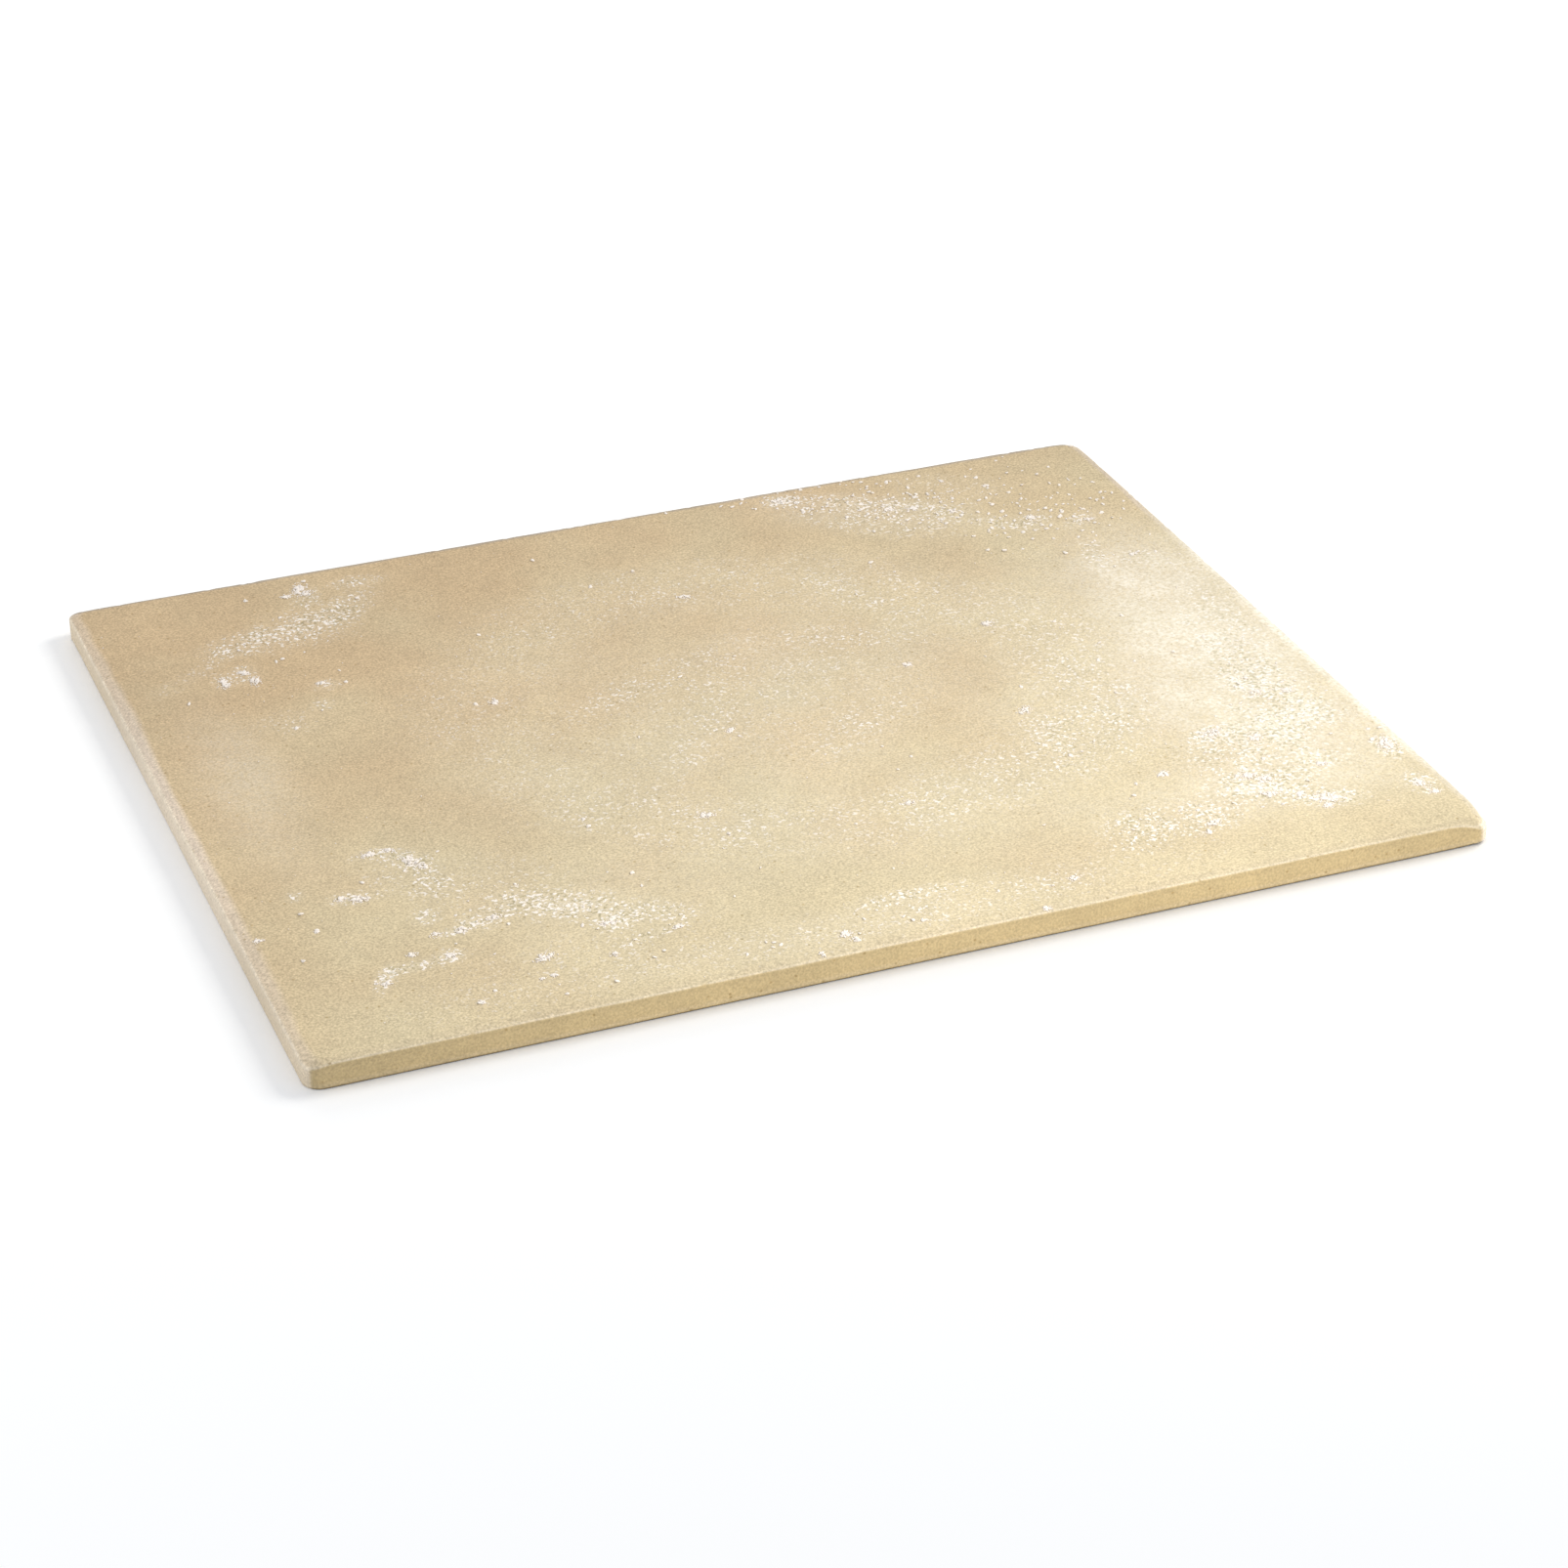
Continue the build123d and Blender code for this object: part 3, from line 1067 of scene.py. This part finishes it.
class PIZZASTONE_OT_flour_grains(bpy.types.Operator):
    """Scatter loose grains of flour over the baking face, as thick as the dusting is there"""

    bl_idname = "pizza_stone.flour_grains"
    bl_label = "Flour Grains"
    bl_options = {"REGISTER", "UNDO"}

    def execute(self, context):
        sizes = context.scene.pizza_stone_sizes
        dusting = context.scene.pizza_stone_dusting
        rng = random.Random(dusting.seed)
        templates = grain_templates(rng, count=6, segments=5, roughness=0.5)
        halves = {"flour_grains_left": bmesh.new(), "flour_grains_right": bmesh.new()}
        widths = (dusting.smallest_grain, dusting.largest_grain)
        tries = dusting.grain_tries
        for x, y, width in scattered(rng, sizes, dusting.amount, tries, GRAIN, widths, grain_chance):
            scale = width * Vector([rng.uniform(*limits) for limits in GRAIN_SHARES])
            half = halves["flour_grains_left" if x < 0 else "flour_grains_right"]
            lay_grain(half, rng, templates, x, y, scale, GRAIN, sizes)
        material = find_material("wheat_flour", flour_material, context.scene.pizza_stone_colours)
        for name, bm in halves.items():
            finish_piece(mesh_from(bm, name), material)
        bpy.data.batch_remove(templates)
        return {"FINISHED"}


class PIZZASTONE_OT_flour_clumps(bpy.types.Operator):
    """Heap small clumps of flour where it fell thickest, and drop coarse specks round them"""

    bl_idname = "pizza_stone.flour_clumps"
    bl_label = "Flour Clumps"
    bl_options = {"REGISTER", "UNDO"}

    def execute(self, context):
        sizes = context.scene.pizza_stone_sizes
        dusting = context.scene.pizza_stone_dusting
        rng = random.Random(dusting.seed + 1)
        lumps = grain_templates(rng, count=5, segments=8, roughness=0.7)
        crumbs = grain_templates(rng, count=5, segments=5, roughness=0.5)
        bm = bmesh.new()
        for x_mm, y_mm, half_length, half_width, turn in CLUMPS:
            axis = Matrix.Rotation(math.radians(turn), 2)
            count = round(LUMPS_BY_SIZE * half_length * half_width) + LEAST_LUMPS
            count = round(dusting.amount * count)
            for index in range(count * PIECES_PER_LUMP):
                templates, heap = (lumps, LUMPS) if index < count else (crumbs, CRUMBS)
                angle, radius = rng.uniform(0, math.tau), heap.reach * math.sqrt(rng.random())
                u, v = half_length * radius * math.cos(angle), half_width * radius * math.sin(angle)
                offset = axis @ Vector((u, v))
                x, y = (x_mm + offset.x) * MM, (y_mm + offset.y) * MM
                if inset_of(Vector((x, y, 0.0)), sizes) < HEAPED.margin:
                    continue
                width = rng.uniform(*heap.widths) * MM
                height = rng.uniform(*heap.heights)
                scale = width * Vector((1.0, rng.uniform(*HEAP_DEPTHS), height))
                lay_grain(bm, rng, templates, x, y, scale, HEAPED, sizes)
        widths = (dusting.smallest_speck, dusting.largest_speck)
        tries = dusting.speck_tries
        for x, y, width in scattered(rng, sizes, dusting.amount, tries, SPECK, widths, speck_chance):
            scale = width * Vector([1.0] + [rng.uniform(*limits) for limits in SPECK_SHARES])
            lay_grain(bm, rng, lumps, x, y, scale, SPECK, sizes)
        material = find_material("wheat_flour", flour_material, context.scene.pizza_stone_colours)
        finish_piece(mesh_from(bm, "flour_clumps"), material)
        bpy.data.batch_remove(lumps + crumbs)
        return {"FINISHED"}


# Studio

# The photograph's viewpoint: turn, tilt and roll in degrees, distance and target in metres, lens and
# sensor in millimetres
CAMERA_TURN = -20.915
CAMERA_TILT = 28.987
CAMERA_ROLL = -0.572
CAMERA_DISTANCE = 1.461806
CAMERA_TARGET = Vector((-0.000047, -0.042188, 0.0))
CAMERA_LENS = 92.541
CAMERA_SENSOR = 36.0
CAMERA_SIGHT = 50.0

# Soft square lights: turn from the front to the right and height, in degrees about the target, distance,
# target, width, and power in watts
SoftLight = namedtuple("SoftLight", "turn height distance target width power")
SOFT_LIGHTS = {
    "right_softbox": SoftLight(100.0, 40.0, 1.7, (0.0, 0.0, 0.0), 0.7, 14.8),
    "left_softbox": SoftLight(-88.0, 26.0, 1.6, (0.0, 0.0, 0.0), 0.8, 5.5),
    "back_strip": SoftLight(176.0, 27.0, 1.8, (0.0, 0.0, 0.0), 0.8, 4.4),
    "front_panel": SoftLight(18.5, 40.0, 0.545, (0.05, -0.10, 0.0), 0.35, 2.4),
}
FLOOR_CELLS = 8


def place_camera(scene):
    """Sets the camera at the photograph's viewing angle."""
    data = bpy.data.cameras.new("camera")
    data.sensor_width = CAMERA_SENSOR
    data.lens = CAMERA_LENS
    data.clip_end = CAMERA_SIGHT
    camera = bpy.data.objects.new("camera", data)
    scene.collection.objects.link(camera)
    aim = Matrix.Identity(4)
    for angle, axis in ((CAMERA_TURN, "Z"), (90 - CAMERA_TILT, "X"), (CAMERA_ROLL, "Z")):
        aim = aim @ Matrix.Rotation(math.radians(angle), 4, axis)
    back = aim.to_3x3() @ Vector((0, 0, 1))
    camera.matrix_world = Matrix.Translation(CAMERA_TARGET + back * CAMERA_DISTANCE) @ aim
    scene.camera = camera


def place_light(scene, name, lamp, colour):
    """Adds one square soft light that faces its target."""
    data = bpy.data.lights.new(name, "AREA")
    data.shape = "SQUARE"
    data.size = lamp.width
    data.energy = lamp.power
    data.color = colour
    light = bpy.data.objects.new(name, data)
    scene.collection.objects.link(light)
    turn, height = math.radians(lamp.turn), math.radians(lamp.height)
    away = Vector((math.sin(turn) * math.cos(height), -math.cos(turn) * math.cos(height), math.sin(height)))
    light.location = Vector(lamp.target) + away * lamp.distance
    light.rotation_euler = away.to_track_quat("Z", "Y").to_euler()
    light.visible_camera = False
    return light


class PIZZASTONE_OT_studio(bpy.types.Operator):
    """Lay the pale floor, light it softly and set the camera"""

    bl_idname = "pizza_stone.studio"
    bl_label = "Studio"
    bl_options = {"REGISTER", "UNDO"}

    def execute(self, context):
        scene = context.scene
        studio = scene.pizza_stone_studio
        bm = bmesh.new()
        bmesh.ops.create_grid(bm, x_segments=FLOOR_CELLS, y_segments=FLOOR_CELLS, size=studio.floor_reach)
        mesh = mesh_from(bm, "floor")
        mesh.materials.append(find_material("seamless_paper", paper_material, studio.floor_colour))
        floor = bpy.data.objects.new("floor", mesh)
        scene.collection.objects.link(floor)

        world = bpy.data.worlds.new("white_room")
        world.use_nodes = True
        background = world.node_tree.nodes["Background"]
        background.inputs["Color"].default_value = opaque(studio.sky_colour)
        background.inputs["Strength"].default_value = studio.sky_strength
        scene.world = world
        colour = studio.lamp_colour
        lights = {name: place_light(scene, name, lamp, colour) for name, lamp in SOFT_LIGHTS.items()}

        # The front panel is masked off from the floor, as a flag would do in a studio
        lit = bpy.data.collections.new("lit_by_front_panel")
        for item in scene.objects:
            if item.type == "MESH" and item is not floor:
                lit.objects.link(item)
        lights["front_panel"].light_linking.receiver_collection = lit
        place_camera(scene)
        scene.view_settings.view_transform = "Standard"
        return {"FINISHED"}


# Panel and registration

PROPERTY_GROUPS = {
    "pizza_stone_sizes": StoneSizes,
    "pizza_stone_colours": StoneColours,
    "pizza_stone_dusting": FlourDusting,
    "pizza_stone_studio": StudioSettings,
}

# Each operator with the groups of properties that it reads first
PIECES = (
    ("pizza_stone.plate", ("pizza_stone_sizes", "pizza_stone_colours")),
    ("pizza_stone.flour_grains", ("pizza_stone_dusting",)),
    ("pizza_stone.flour_clumps", ()),
    ("pizza_stone.studio", ("pizza_stone_studio",)),
)


class PIZZASTONE_PT_panel(bpy.types.Panel):
    """Lists the pieces of the pizza stone and the sizes and colours that can be changed"""

    bl_label = "Pizza Stone"
    bl_idname = "PIZZASTONE_PT_panel"
    bl_space_type = "VIEW_3D"
    bl_region_type = "UI"
    bl_category = "Pizza Stone"

    def draw(self, context):
        for operator, groups in PIECES:
            box = self.layout.box()
            box.operator(operator)
            for group in groups:
                for name in PROPERTY_GROUPS[group].__annotations__:
                    box.prop(getattr(context.scene, group), name)


CLASSES = (
    *PROPERTY_GROUPS.values(),
    PIZZASTONE_OT_plate,
    PIZZASTONE_OT_flour_grains,
    PIZZASTONE_OT_flour_clumps,
    PIZZASTONE_OT_studio,
    PIZZASTONE_PT_panel,
)


def register():
    """Registers the classes and hangs the properties on the scene."""
    for cls in CLASSES:
        bpy.utils.register_class(cls)
    for name, group in PROPERTY_GROUPS.items():
        setattr(bpy.types.Scene, name, bpy.props.PointerProperty(type=group))


def unregister():
    """Takes the properties and the classes away again."""
    for name in PROPERTY_GROUPS:
        delattr(bpy.types.Scene, name)
    for cls in reversed(CLASSES):
        bpy.utils.unregister_class(cls)


def main():
    """Builds the stone and its studio."""
    register()
    bpy.ops.pizza_stone.plate()
    bpy.ops.pizza_stone.flour_grains()
    bpy.ops.pizza_stone.flour_clumps()
    bpy.ops.pizza_stone.studio()


if __name__ == "__main__":
    main()
